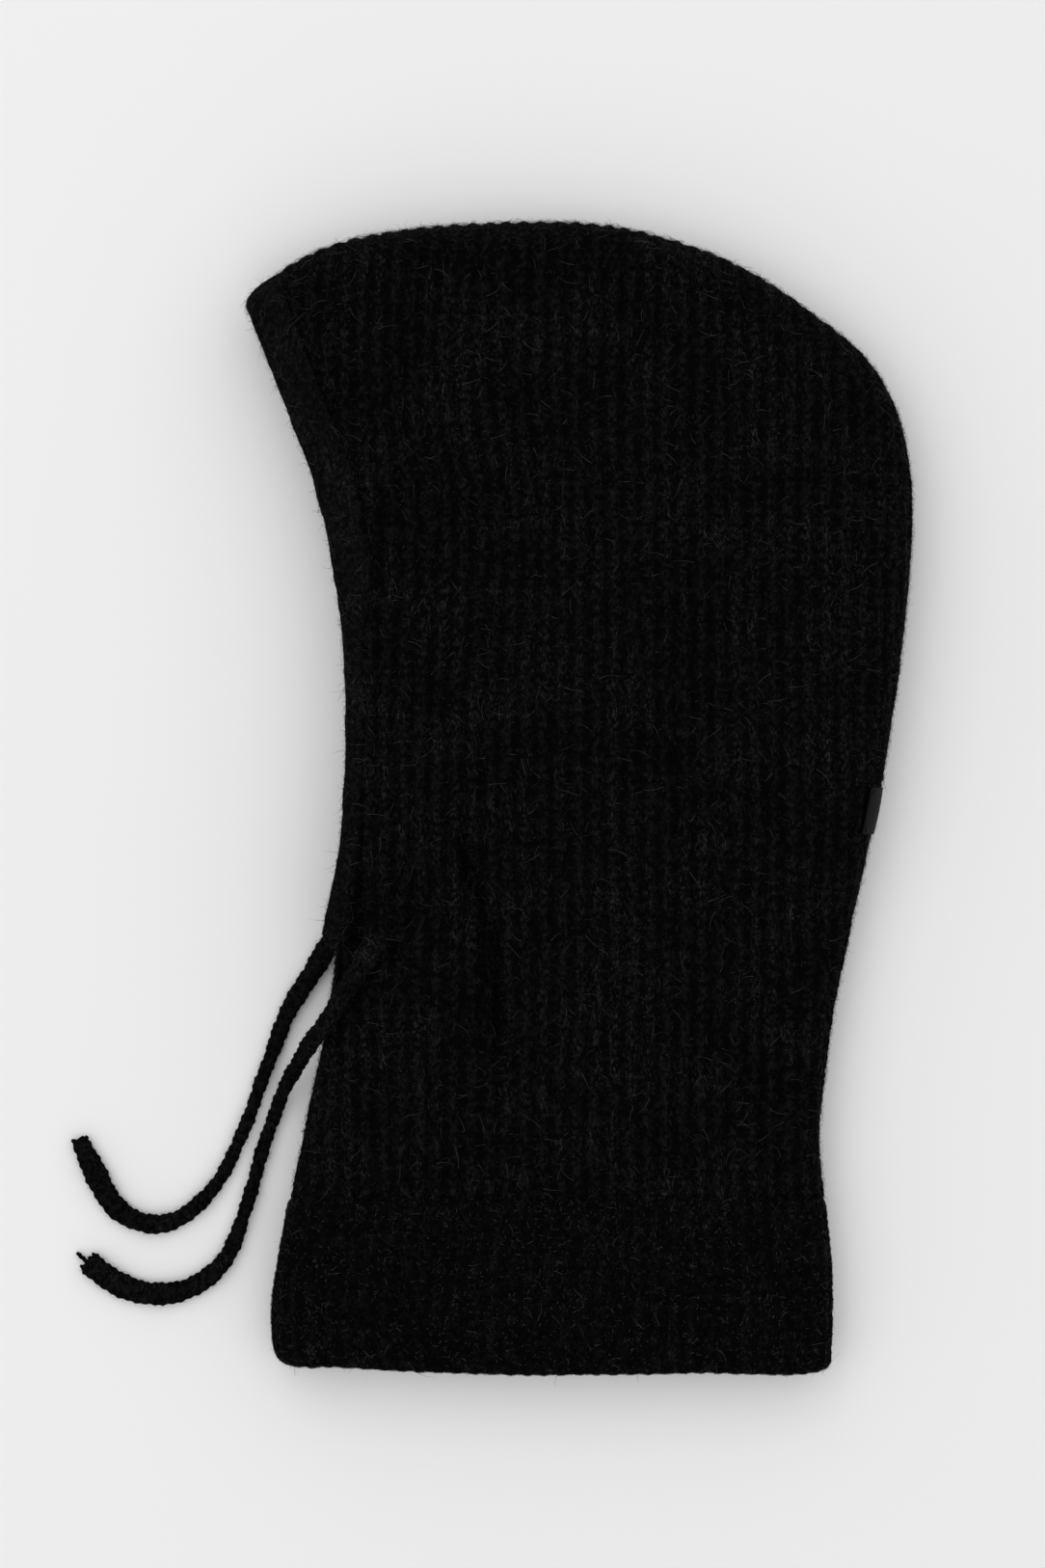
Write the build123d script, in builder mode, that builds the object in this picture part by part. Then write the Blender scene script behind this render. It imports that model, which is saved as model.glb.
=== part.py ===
"""A chunky knitted balaclava hood with a drawcord, lying flat on its far side.

The hood lies on the XY plane: the crown towards +Y, the neck opening towards -Y, the face
opening towards -X and the back of the head towards +X. +Z is up, away from the surface.
The origin is on that surface, under the middle of the hood's box. Lengths are millimetres.
"""

import os
from math import pi, radians, tan

from build123d import *

os.makedirs("parts", exist_ok=True)

# Overall size of the hood as it lies
hood_height = 420.0  # crown to hem
hood_depth = 243.0  # forehead to the back of the head
hood_loft = 30.0  # height above the surface at the head
neck_loft = 23.0  # height above the surface at the neck

# Outline, measured in from the hood's box
forehead_drop = 28.0  # crown down to the forehead corner
face_inset = 36.7  # how deep the face edge curves in
chin_height = 157.5  # hem up to the chin
chin_inset = 27.5
neck_inset = 33.5  # the neck's front edge under the chin
neck_back_inset = 34.0  # the narrow place at the back of the neck
cuff_height = 63.5
cuff_inset = 16.0
cuff_back_inset = 31.5
hem_inset = 9.0
hem_back_inset = 29.2
hem_round = 6.0

# Knitted plies
panel_knit = 4.0
cuff_knit = 6.5  # the hem is turned up, so the cuff is two plies thick
band_knit = 8.0  # the folded casing round the face, with its tunnel
band_width = 16.0
seam_width = 1.6  # rows of linking stitches between two pieces
seam_allowance = 3.0  # how far a linked seam stands inside the hood
seam_level = 11.0  # the side seam's height above the surface
rim_radius = 7.5  # the roll of the knit at the crown, back and neck
loft_start = 0.0  # where the head's loft starts to fall towards the neck
loft_end = -42.0

# Drawcord and the parts that it runs in
cord_diameter = 4.8
cord_clearance = 0.3  # all round, between the cord and its tunnel
mouth_wall = 1.3
near_pull = 12.0  # how far each cord end draws out
far_pull = 12.0
end_gap = 0.6  # between the sliding ends and the cord in the casing
chin_tack = 5.5  # the width of the stitches that close the throat
yarn_tail = 5.0
yarn_radius = 0.8
fold_wall = 11.0  # the casing's thickness where it folds over the forehead
cord_lift = 0.05  # the cord's underside above the surface

# Label and its stitches
label_height = 17.0
label_middle = 205.0  # hem up to the label's middle
label_low = 7.6  # the label's lower edge above the surface
label_wrap = 13.0  # the label's width, up the back edge
label_thick = 0.9
stitch_radius = 0.35
stitch_inset = 2.0  # the corner stitches in from the label's edges
stitch_depth = 3.0

front_x = -hood_depth / 2
back_x = hood_depth / 2
top_y = hood_height / 2
hem_y = -hood_height / 2
cuff_y = hem_y + cuff_height
forehead = Vector(front_x, top_y - forehead_drop)
chin = Vector(front_x + chin_inset, hem_y + chin_height)
cord_radius = cord_diameter / 2
tunnel_radius = cord_radius + cord_clearance
mouth_radius = tunnel_radius + mouth_wall
near_level = hood_loft - band_knit / 2  # the cord's height in the near casing
far_level = band_knit / 2
through = 2 * hood_height  # longer than the hood, for cuts that pass right through
margin = 1.0  # how far a cut runs past a face

# The way each cord end leaves its casing, and the place where it does
near_way = Vector(-0.484, -0.875).normalized()
far_way = Vector(-0.42, -0.907).normalized()
near_exit = Vector(chin.X + 15.9, chin.Y - 7.3, near_level)
far_exit = Vector(chin.X + 3.6, chin.Y, far_level)
near_tail = near_exit - near_way * (near_pull + 2)
far_tail = far_exit - far_way * (far_pull + 4)
near_bend = near_tail - near_way * 6


def arc_radii(route):
    """The largest arc that each corner of a route takes between its two runs."""
    radii = []
    for before, corner, after in zip(route, route[1:], route[2:]):
        shorter = min((corner - before).length, (after - corner).length)
        turn = (corner - before).get_angle(after - corner)
        radii.append(0.45 * shorter / tan(radians(turn) / 2))
    return radii


def smooth_line(*points, radii=None):
    """Straight runs joined by tangent arcs, as large as the runs allow."""
    route = [Vector(*point) for point in points]
    return FilletPolyline(*route, radius=radii or arc_radii(route))


def head_edge(hem):
    """Crown, back of the head and back of the neck, from the forehead down to the hem."""
    return smooth_line(
        forehead,
        (front_x + 21.5, top_y - 10.5),
        (front_x + 51.5, top_y - 2.5),
        (front_x + 90, top_y),
        (front_x + 132, top_y),
        (back_x - 76.5, top_y - 8.5),
        (back_x - 41.5, top_y - 25.5),
        (back_x - 15.5, top_y - 52),
        (back_x - 3.5, top_y - 80),
        (back_x, top_y - 102),
        (back_x, top_y - 130),
        (back_x - 4.5, top_y - 172),
        (back_x - 10.5, top_y - 210),
        (back_x - 18.5, top_y - 246),
        (back_x - 26.5, hem_y + 140),
        (back_x - neck_back_inset + 1.5, hem_y + 108),
        (back_x - neck_back_inset, cuff_y + 21.5),
        (back_x - cuff_back_inset, cuff_y - 1.5),
        (back_x - hem_back_inset, hem_y + 40),
        (back_x - hem_back_inset, hem_y + 15),
        (back_x - hem_back_inset - 1, hem),
    )


def neck_edge(hem, high_y):
    """Front of the neck, from the hem up to high_y, which is under the casing."""
    return smooth_line(
        (front_x + hem_inset + 1.2 * hem_round, hem),
        (front_x + hem_inset + 1.5, hem_y + hem_round),
        (front_x + hem_inset, hem_y + 18),
        (front_x + hem_inset + 2, hem_y + 38),
        (front_x + cuff_inset, cuff_y),
        (front_x + cuff_inset + 6, cuff_y + 29),
        (front_x + neck_inset - 6, chin.Y - 39.5),
        (front_x + neck_inset - 1.5, chin.Y - 15.5),
        (front_x + neck_inset, high_y),
    )


def face_edge():
    """The edge of the face opening, from the chin up to the forehead corner."""
    return smooth_line(
        chin,
        (front_x + face_inset - 3, chin.Y + 27.5),
        (front_x + face_inset - 0.3, chin.Y + 57.5),
        (front_x + face_inset, forehead.Y - 137),
        (front_x + face_inset - 4, forehead.Y - 100),
        (front_x + 26.5, forehead.Y - 67),
        (front_x + 14, forehead.Y - 34),
        forehead,
    )


def panel_plan(inset=0.0, hem_drop=0.0):
    """The hood seen from above, closed roughly behind the face edge, where the casing is."""
    hem = hem_y - hem_drop
    with BuildSketch() as seen:
        with BuildLine():
            back = head_edge(hem)
            front = neck_edge(hem, chin.Y + 1.5 * rim_radius)
            Line(back @ 1, front @ 0)
            Polyline(front @ 1, front @ 1 + Vector(1.05 * rim_radius, 0), forehead)
        make_face()
        if inset:
            offset(amount=-inset, kind=Kind.ARC)
    return seen.sketch


def back_rims(form, inset=0.0):
    """Edges of the rims at the back of the head, which the crown and neck rims follow on from."""
    level = form.edges().filter_by(lambda e: abs((e % 0.5).Z) < 0.5)
    return level.filter_by(lambda e: (e @ 0.5).X > back_x - inset - 6)


def neck_rims(form):
    """Edges of the rims at the front of the neck."""
    level = form.edges().filter_by(lambda e: abs((e % 0.5).Z) < 0.5)
    return level.filter_by(lambda e: (e @ 0.5).X < 0 and cuff_y < (e @ 0.5).Y < chin.Y - 30)


def lay_form(inset=0.0, hem_drop=0.0):
    """The closed form that the hood fills as it lies, shrunk by inset all over."""
    with BuildPart() as form:
        with BuildSketch(Plane.XY.offset(inset)):
            add(panel_plan(inset, hem_drop))
        extrude(amount=hood_loft - 2 * inset)
        with BuildSketch(Plane.YZ):
            with BuildLine():
                fall = smooth_line(
                    (through, hood_loft - inset),
                    (loft_start, hood_loft - inset),
                    (loft_end, neck_loft - inset),
                    (-through, neck_loft - inset),
                )
                Polyline(fall @ 1, (-through, -through), (through, -through), fall @ 0)
            make_face()
        extrude(amount=through, both=True, mode=Mode.INTERSECT)
        fillet(back_rims(form, inset) + neck_rims(form), rim_radius - inset)
    return form.part


def casing_zone(extra=0.0, with_mouth=False):
    """The strip that the casing covers, seen from above, widened by extra on its inner side."""
    with BuildSketch() as zone:
        with BuildLine():
            edge = face_edge()
            far_corner = Vector(front_x - 60, top_y + 60)
            Polyline(edge @ 1, far_corner, (far_corner.X, chin.Y), chin)
        make_face()
        offset(amount=band_width + extra, kind=Kind.ARC)
        if with_mouth:
            with BuildSketch(mode=Mode.PRIVATE) as pad:
                for spot in (near_tail, near_bend, chin + Vector(8, 6), chin + Vector(12, 30)):
                    with Locations((spot.X, spot.Y)):
                        Circle(mouth_radius + 0.4 + extra)
                make_hull()
            add(pad.sketch)
        with Locations((0, chin.Y - extra - through / 2)):
            Rectangle(2 * through, through, mode=Mode.SUBTRACT)
    return zone.sketch


def rod(start, end, radius):
    """A straight round rod between two points."""
    with BuildPart() as bar:
        with BuildSketch(Plane(origin=start, z_dir=end - start)):
            Circle(radius)
        extrude(amount=(end - start).length)
    return bar.part


def cord_tube(route, radius, radii=None):
    """A round tube of straight runs and tangent arcs along the route, and its length."""
    with BuildPart() as tube:
        with BuildLine() as line:
            smooth_line(*route, radii=radii)
        with BuildSketch(Plane(origin=route[0], z_dir=route[1] - route[0])):
            Circle(radius)
        sweep()
    return tube.part, line.wire().length


def side_slab(low_y, high_y):
    """A slab that crosses the hood between two distances up from the hem."""
    with BuildPart() as slab:
        with BuildSketch():
            with Locations((0, (low_y + high_y) / 2)):
                Rectangle(through, high_y - low_y)
        extrude(amount=through, both=True)
    return slab.part


seam_low = seam_level - seam_width / 2
seam_high = seam_level + seam_width / 2
cuff_top = cuff_y + seam_width
hem_reach = hood_height / 10  # how far the inner forms run out past the hem

outer = lay_form()
with BuildPart() as panel_shell:
    add(outer)
    add(lay_form(panel_knit, hem_reach), mode=Mode.SUBTRACT)

# Where the drawcord runs in the casing: down the middle of its near and far strips
edge_line = face_edge()
strip_middle = []
for share in (0.12, 0.25, 0.39, 0.53, 0.67, 0.8, 0.91):
    along = edge_line % share
    strip_middle.append(edge_line @ share + Vector(along.Y, -along.X) * (band_width / 2))
crown_angle = 37.0  # the slope of the crown at the forehead, in degrees
crown_way = Vector(1, 0).rotate(Axis.Z, crown_angle)
crown_side = Vector(0, 1).rotate(Axis.Z, crown_angle)
fold_place = forehead + crown_way * 7.2 - crown_side * 6.6
casing_route = [near_bend]
casing_route += [Vector(spot.X, spot.Y, near_level) for spot in strip_middle]
casing_route += [Vector(fold_place.X, fold_place.Y, near_level)]
casing_route += [Vector(fold_place.X, fold_place.Y, far_level)]
casing_route += [Vector(spot.X, spot.Y, far_level) for spot in reversed(strip_middle[1:])]
casing_route += [far_tail - far_way * 8]
hidden_route = [near_tail - near_way * end_gap, *casing_route, far_tail - far_way * end_gap]
tunnel_route = [near_exit + near_way, *casing_route, far_exit + far_way * 10]

# The drawcord's middle length, which stays in the casing
hidden_cord, hidden_length = cord_tube(hidden_route, cord_radius)
with BuildPart() as drawcord_in_casing:
    add(hidden_cord)

# Folded casing round the face opening: near and far strips, joined over the forehead
with BuildPart() as crown_form:
    with BuildSketch():
        with BuildLine():
            crown = head_edge(hem_y)
            Polyline(crown @ 1, chin)
            face_edge()
        make_face()
    extrude(amount=hood_loft)
    fillet(back_rims(crown_form), rim_radius)

near_mouth = rod(near_tail, near_exit, mouth_radius)
tunnel, _ = cord_tube(tunnel_route, tunnel_radius, arc_radii(hidden_route))

with BuildPart() as face_band:
    add(crown_form.part)
    with BuildSketch(Plane.XY.offset(-margin)):
        Rectangle(2 * through, 2 * through)
        add(casing_zone(), mode=Mode.SUBTRACT)
    extrude(amount=hood_loft - band_knit + margin, mode=Mode.SUBTRACT)
    with BuildSketch(Plane.XY.offset(hood_loft - band_knit)):
        Rectangle(2 * through, 2 * through)
        add(casing_zone(with_mouth=True), mode=Mode.SUBTRACT)
    extrude(amount=band_knit + margin, mode=Mode.SUBTRACT)
    with BuildSketch(Plane.XY.offset(band_knit)):
        with Locations(Location(forehead - crown_side * fold_wall, crown_angle)):
            Rectangle(through, through, align=(Align.CENTER, Align.MAX))
    extrude(amount=hood_loft - 2 * band_knit, mode=Mode.SUBTRACT)
    add(near_mouth)
    add(tunnel, mode=Mode.SUBTRACT)
face_band.part.label = "face_band"
export_step(face_band.part, "parts/face_band.step")

drawcord_in_casing.part.label = "drawcord_in_casing"
export_step(drawcord_in_casing.part, "parts/drawcord_in_casing.step")

# Side panels: the upper and lower halves of the hood, up to the casing and the cuff
with BuildPart() as near_side_panel:
    add(panel_shell.part)
    add(side_slab(cuff_top, top_y + hem_reach), mode=Mode.INTERSECT)
    split(bisect_by=Plane.XY.offset(seam_high), keep=Keep.TOP)
    with BuildSketch():
        add(casing_zone(seam_width, with_mouth=True))
    extrude(amount=hood_loft, mode=Mode.SUBTRACT)
    add(near_mouth, mode=Mode.SUBTRACT)
near_side_panel.part.label = "near_side_panel"
export_step(near_side_panel.part, "parts/near_side_panel.step")

with BuildPart() as far_side_panel:
    add(panel_shell.part)
    add(side_slab(cuff_top, top_y + hem_reach), mode=Mode.INTERSECT)
    split(bisect_by=Plane.XY.offset(seam_low), keep=Keep.BOTTOM)
    with BuildSketch(Plane.XY.offset(-margin)):
        add(casing_zone(seam_width))
    extrude(amount=hood_loft, mode=Mode.SUBTRACT)
far_side_panel.part.label = "far_side_panel"
export_step(far_side_panel.part, "parts/far_side_panel.step")

# Linked seams between the two side panels, with their allowance inside the hood
with BuildPart() as side_seam:
    with BuildSketch(Plane.XY.offset(seam_low)):
        add(panel_plan(0, hem_reach))
        add(panel_plan(panel_knit + seam_allowance, 2 * hem_reach), mode=Mode.SUBTRACT)
        add(casing_zone(seam_width), mode=Mode.SUBTRACT)
    extrude(amount=seam_width)
    add(side_slab(cuff_top, top_y), mode=Mode.INTERSECT)

with BuildPart() as crown_back_seam:
    add(side_seam.part)
    with BuildSketch():
        Rectangle(through, through, align=(Align.MAX, Align.MAX))
    extrude(amount=hood_loft, mode=Mode.SUBTRACT)
crown_back_seam.part.label = "crown_back_seam"
export_step(crown_back_seam.part, "parts/crown_back_seam.step")

with BuildPart() as front_neck_seam:
    add(side_seam.part)
    with BuildSketch():
        with Locations((0, chin.Y - seam_width)):
            Rectangle(through, through, align=(Align.MAX, Align.MAX))
    extrude(amount=hood_loft, mode=Mode.INTERSECT)
front_neck_seam.part.label = "front_neck_seam"
export_step(front_neck_seam.part, "parts/front_neck_seam.step")

# Stitches that close the throat between the ends of the near and far strips
with BuildPart() as chin_stitches:
    with BuildSketch(Plane.XY.offset(far_level)):
        with Locations((chin.X + band_width / 2 + 0.5, chin.Y)):
            Rectangle(chin_tack, seam_width, align=(Align.MIN, Align.MAX))
    extrude(amount=near_level - far_level)
chin_stitches.part.label = "chin_stitches"
export_step(chin_stitches.part, "parts/chin_stitches.step")

# Linking stitches that join the casing to the side panels
with BuildPart() as face_band_seam:
    for low, high, mouth in ((-margin, seam_level, False), (seam_level, hood_loft + margin, True)):
        with BuildSketch(Plane.XY.offset(low)):
            add(casing_zone(seam_width, mouth))
            add(casing_zone(0, mouth), mode=Mode.SUBTRACT)
        extrude(amount=high - low)
    add(panel_shell.part, mode=Mode.INTERSECT)
    for neighbour in (near_mouth, tunnel, chin_stitches.part):
        add(neighbour, mode=Mode.SUBTRACT)
face_band_seam.part.label = "face_band_seam"
export_step(face_band_seam.part, "parts/face_band_seam.step")

# Neck cuff: the hem is turned up inside, so its wall is two plies thick
with BuildPart() as neck_cuff:
    add(outer)
    add(lay_form(cuff_knit, hem_reach), mode=Mode.SUBTRACT)
    add(side_slab(hem_y - 1, cuff_y), mode=Mode.INTERSECT)
neck_cuff.part.label = "neck_cuff"
export_step(neck_cuff.part, "parts/neck_cuff.step")

with BuildPart() as cuff_seam:
    add(panel_shell.part)
    add(side_slab(cuff_y, cuff_top), mode=Mode.INTERSECT)
cuff_seam.part.label = "cuff_seam"
export_step(cuff_seam.part, "parts/cuff_seam.step")

# Blank label over the seam at the back edge, and the corner stitches that hold it
label_y = hem_y + label_middle
with BuildPart() as back_label:
    with BuildSketch(Plane.XY.offset(label_low)) as label_plan:
        add(panel_plan(-label_thick))
        add(panel_plan(), mode=Mode.SUBTRACT)
        with Locations((back_x, label_y)):
            Rectangle(hood_depth / 2, label_height, mode=Mode.INTERSECT)
    extrude(amount=label_wrap)
back_label.part.label = "back_label"
export_step(back_label.part, "parts/back_label.step")

with BuildPart() as label_stitches:
    for row in (-1, 1):
        stitch_y = label_y + row * (label_height / 2 - stitch_inset)
        for level in (label_low + stitch_inset, label_low + label_wrap - stitch_inset):
            with BuildSketch(Plane(origin=(0, stitch_y, level), z_dir=(1, 0, 0))):
                Circle(stitch_radius)
            extrude(amount=hood_depth)
    with BuildSketch():
        add(panel_plan(-label_thick - stitch_radius))
        add(panel_plan(stitch_depth), mode=Mode.SUBTRACT)
    extrude(amount=hood_loft, mode=Mode.INTERSECT)
label_stitches.part.label = "label_stitches"
export_step(label_stitches.part, "parts/label_stitches.step")

# The free ends of the drawcord. Each starts inside its casing, leaves it straight, and then
# lies as it falls. The points are the route's corners.
floor = cord_radius + cord_lift
near_route = [
    near_tail,
    near_exit + near_way * 11,
    Vector(-93.5, -84, 26.5),
    Vector(-102, -98.5, 13),
    Vector(-109, -113.5, floor),
    Vector(-116.5, -136, floor),
    Vector(-123, -157, floor),
    Vector(-132.5, -173, floor),
    Vector(-147.5, -180.5, floor),
    Vector(-165, -180, floor),
    Vector(-180, -169, floor),
]
far_route = [
    far_tail,
    far_exit + far_way * 8,
    Vector(-103.5, -74, floor + 0.4),
    Vector(-110.5, -92, floor),
    Vector(-118.5, -114, floor),
    Vector(-129, -137, floor),
    Vector(-142.5, -153.5, floor),
    Vector(-158.5, -158, floor),
    Vector(-173.5, -149.5, floor),
    Vector(-183.5, -124, floor),
]
near_tube, near_length = cord_tube(near_route, cord_radius)
with BuildPart() as near_cord_end:
    add(near_tube)
near_cord_end.part.label = "near_cord_end"
export_step(near_cord_end.part, "parts/near_cord_end.step")

far_tube, far_length = cord_tube(far_route, cord_radius)
with BuildPart() as far_cord_end:
    add(far_tube)
far_cord_end.part.label = "far_cord_end"
export_step(far_cord_end.part, "parts/far_cord_end.step")

# The yarn left where the near end was bound off
tail_way = (near_route[-1] - near_route[-2]).normalized()
with BuildPart() as near_yarn_tail:
    add(rod(near_route[-1], near_route[-1] + tail_way * yarn_tail, yarn_radius))
near_yarn_tail.part.label = "near_yarn_tail"
export_step(near_yarn_tail.part, "parts/near_yarn_tail.step")

for route, tube, length in (
    (near_route, near_tube, near_length),
    (far_route, far_tube, far_length),
):
    share = tube.volume / (pi * cord_radius**2 * length)
    print(f"cord length {length:.1f}, volume against section times length {share:.4f}")
    print("corner arcs", [round(radius) for radius in arc_radii(route)])
print(f"cord in the casing {hidden_length:.1f}")
print("ways out of the casing", near_way, far_way)
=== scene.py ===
"""Looks of a chunky rib-knit hood that lies flat on its side, with its drawcord's free ends.

Shapes are worked in millimetres and set down in metres, in the same frame as the solids.
"""

from math import pi

import bmesh
import bpy
import numpy as np
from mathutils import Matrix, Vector


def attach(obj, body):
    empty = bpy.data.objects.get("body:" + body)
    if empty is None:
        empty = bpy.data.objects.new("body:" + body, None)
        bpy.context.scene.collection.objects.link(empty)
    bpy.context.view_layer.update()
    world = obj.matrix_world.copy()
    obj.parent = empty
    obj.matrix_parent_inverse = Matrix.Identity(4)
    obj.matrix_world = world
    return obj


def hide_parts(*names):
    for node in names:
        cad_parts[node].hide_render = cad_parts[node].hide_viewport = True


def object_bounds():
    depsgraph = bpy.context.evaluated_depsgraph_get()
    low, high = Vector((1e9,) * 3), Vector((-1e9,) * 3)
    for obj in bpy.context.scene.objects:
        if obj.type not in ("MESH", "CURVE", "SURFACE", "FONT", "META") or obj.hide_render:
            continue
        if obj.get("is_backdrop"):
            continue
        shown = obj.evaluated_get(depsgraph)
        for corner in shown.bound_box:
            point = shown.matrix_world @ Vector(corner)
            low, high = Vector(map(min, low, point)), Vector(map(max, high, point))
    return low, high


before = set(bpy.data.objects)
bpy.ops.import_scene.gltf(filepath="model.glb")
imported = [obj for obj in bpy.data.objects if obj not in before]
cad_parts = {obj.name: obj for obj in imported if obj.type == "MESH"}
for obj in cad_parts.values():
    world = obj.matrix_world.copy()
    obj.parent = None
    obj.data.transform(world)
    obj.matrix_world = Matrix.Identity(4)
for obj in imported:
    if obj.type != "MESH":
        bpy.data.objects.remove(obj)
solid_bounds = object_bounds()

# Knit gauge and the hood's levels
RIB = 6.4
WALE = 3.2
COURSE = 3.2
SEAM_Z = 11.0
RIM = 14.0
HEAD_TOP = 29.4
NECK_TOP = 22.6
FAR_BASE = 1.1
CUFF_Y = -146.5
HEM_Y = -210.0
PLY = 3.5
CORD = 4.8


# ---------------------------------------------------------------- lines and fields

def soften(points, rounds=5):
    """A line with its corners cut again and again, ends kept."""
    line = np.array(points, float)
    for _ in range(rounds):
        low = line[:-1] * 0.75 + line[1:] * 0.25
        high = line[:-1] * 0.25 + line[1:] * 0.75
        mixed = np.stack([low, high], axis=1).reshape(-1, line.shape[1])
        line = np.vstack([line[:1], mixed[1:-1], line[-1:]])
    return line


def lengths(line):
    """How far along the line each of its points is."""
    return np.concatenate([[0], np.cumsum(np.linalg.norm(np.diff(line, axis=0), axis=1))])


def at(line, far):
    """Points of the line at these distances along it."""
    run = lengths(line)
    return np.stack([np.interp(far, run, line[:, k]) for k in range(line.shape[1])], axis=-1)


def unit(vectors):
    return vectors / np.maximum(np.linalg.norm(vectors, axis=-1, keepdims=True), 1e-9)


def ease(low, high, value):
    """0 below low and 1 above high, with a smooth rise between."""
    t = np.clip((value - low) / (high - low), 0, 1)
    return t * t * (3 - 2 * t)


def ripple(x, y, size, seed):
    """Smooth random swell from -1 to 1, with hills about size apart."""
    table = np.random.default_rng(seed).uniform(-1, 1, (64, 64))
    gx, gy = x / size + 20.0, y / size + 20.0
    ix, iy = np.floor(gx).astype(int), np.floor(gy).astype(int)
    fx, fy = gx - ix, gy - iy
    fx, fy = fx * fx * (3 - 2 * fx), fy * fy * (3 - 2 * fy)
    corner = lambda a, b: table[(ix + a) % 64, (iy + b) % 64]
    low = corner(0, 0) * (1 - fx) + corner(1, 0) * fx
    high = corner(0, 1) * (1 - fx) + corner(1, 1) * fx
    return low * (1 - fy) + high * fy


CROWN_BACK = soften([
    (-121.5, 182), (-99.5, 199), (-70, 207), (-31.5, 210), (10.5, 210), (45, 200.5),
    (66, 190.5), (86.5, 176.2), (106, 160.8), (117.4, 140.5), (121.8, 118), (122, 98),
    (120.8, 76), (116.2, 38), (110, 0), (102, -36), (94.6, -70), (89.6, -101), (87.5, -125),
    (89.6, -148), (92, -170), (92.3, -195), (91.3, -210)])
NECK_FRONT = soften([
    (-104.7, -210), (-110.4, -204), (-111.9, -192), (-109.8, -172), (-104.7, -146.5),
    (-98.8, -117.5), (-93.3, -92), (-88.9, -68), (-87.5, -41), (-88.6, -20), (-88.4, 12),
    (-90, 46), (-104, 84), (-128, 118)])
FACE = soften([
    (-93.5, -52.5), (-87.2, -25), (-84.5, 5), (-84.2, 45), (-88.4, 82), (-95.6, 115),
    (-109, 148), (-122, 181.5)])
CORD_RIDGE = soften([(-81.5, 6), (-79.5, -12), (-73, -31), (-68.6, -42), (-70.6, -46.4)])
CREASE = soften([
    (-50, 12), (-46.4, -8.3), (-39.7, -25.9), (-34.4, -43.5), (-31.2, -61.2), (-28.7, -80.6),
    (-27.7, -100), (-27, -118)])


def beside(line, x, y):
    """Distance to the right of a line, the nearest place on it, and how far along that is."""
    start, step = line[:-1], np.diff(line, axis=0)
    size = np.sum(step ** 2, axis=1)
    run = lengths(line)
    flat = np.stack([x.ravel(), y.ravel()], axis=1)
    found = [np.empty(len(flat)), np.empty((len(flat), 2)), np.empty(len(flat))]
    for low in range(0, len(flat), 20000):
        part = flat[low:low + 20000, None, :]
        t = np.clip(np.sum((part - start) * step, axis=2) / size, 0, 1)
        near = start + t[..., None] * step
        gap = np.sum((part - near) ** 2, axis=2)
        pick = np.argmin(gap, axis=1)
        row = np.arange(len(pick))
        place = near[row, pick]
        away = flat[low:low + 20000] - place
        way = step[pick]
        side = np.sign(way[:, 1] * away[:, 0] - way[:, 0] * away[:, 1])
        span = slice(low, low + len(pick))
        found[0][span] = side * np.sqrt(gap[row, pick])
        found[1][span] = place
        found[2][span] = run[pick] + t[row, pick] * np.sqrt(size[pick])
    return found[0].reshape(x.shape), found[1].reshape(x.shape + (2,)), found[2].reshape(x.shape)


def band_reach(y):
    """The visible width of the face casing at each height."""
    return 7.4 + 8.4 * ease(48, 84, y)


def top_level(x, y):
    """Height of the near side of the hood."""
    z = NECK_TOP + (HEAD_TOP - NECK_TOP) * ease(-62, 14, y)
    gap, _, run = beside(CREASE, x, y)
    fade = ease(0, 45, run) * ease(0, 50, CREASE_RUN - run)
    z = z - 7.5 * fade * np.exp(-(gap / 3.1) ** 2)
    z = z + 1.6 * fade * (np.exp(-((gap - 11) / 6) ** 2) + 0.8 * np.exp(-((gap + 11) / 6) ** 2))
    z = z + 0.75 * ripple(x, y, 46, 3) * ease(-150, -120, y) + 0.35 * ripple(x, y, 21, 5)
    throat = np.exp(-(((x + 83) / 6.5) ** 2 + ((y + 64) / 12) ** 2))
    hole = np.exp(-(((x + 69) / 3.2) ** 2 + ((y + 56) / 4.5) ** 2))
    z = z - 5.5 * throat - 3.0 * hole
    off, _, _ = beside(CORD_RIDGE, x, y)
    cover = np.exp(-(np.maximum(np.abs(off) - 2.2, 0) / 3.6) ** 2)
    return np.maximum(z, z + (29.5 - z) * cover)


CREASE_RUN = lengths(CREASE)[-1]


def lean(x, y):
    """How far the wales lean over where the crown was shaped."""
    near = np.exp(-((x + 42) / 40) ** 2 - ((y - 132) / 46) ** 2)
    return 0.2 * (y - 132) * near + 0.9 * ripple(x, y, 60, 11)


def rib(u, v, depth=0.8, legs=0.3):
    """Relief of one-by-one rib: plump wales and sunk ones, with each stitch's two legs."""
    wave = np.cos(2 * pi * u / RIB)
    ridge = np.sign(wave) * np.abs(wave) ** 0.75
    raised = 0.5 + 0.5 * ridge
    across = np.abs((u + WALE / 2) % RIB - WALE / 2) / (WALE / 2)
    leg = np.cos(2 * pi * (v / COURSE - 0.42 * across))
    bar = np.cos(2 * pi * (v / COURSE + 0.5))
    uneven = 0.75 + 0.55 * ripple(u, v, COURSE, 83)
    stitches = legs * leg * raised + 0.6 * legs * bar * (1 - raised)
    lumps = 0.55 * legs * ripple(u, v, 2.1, 84)
    return depth * ridge * (0.85 + 0.3 * ripple(u, v, 5.5, 85)) + stitches * uneven + lumps


# ---------------------------------------------------------------- meshes

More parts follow.
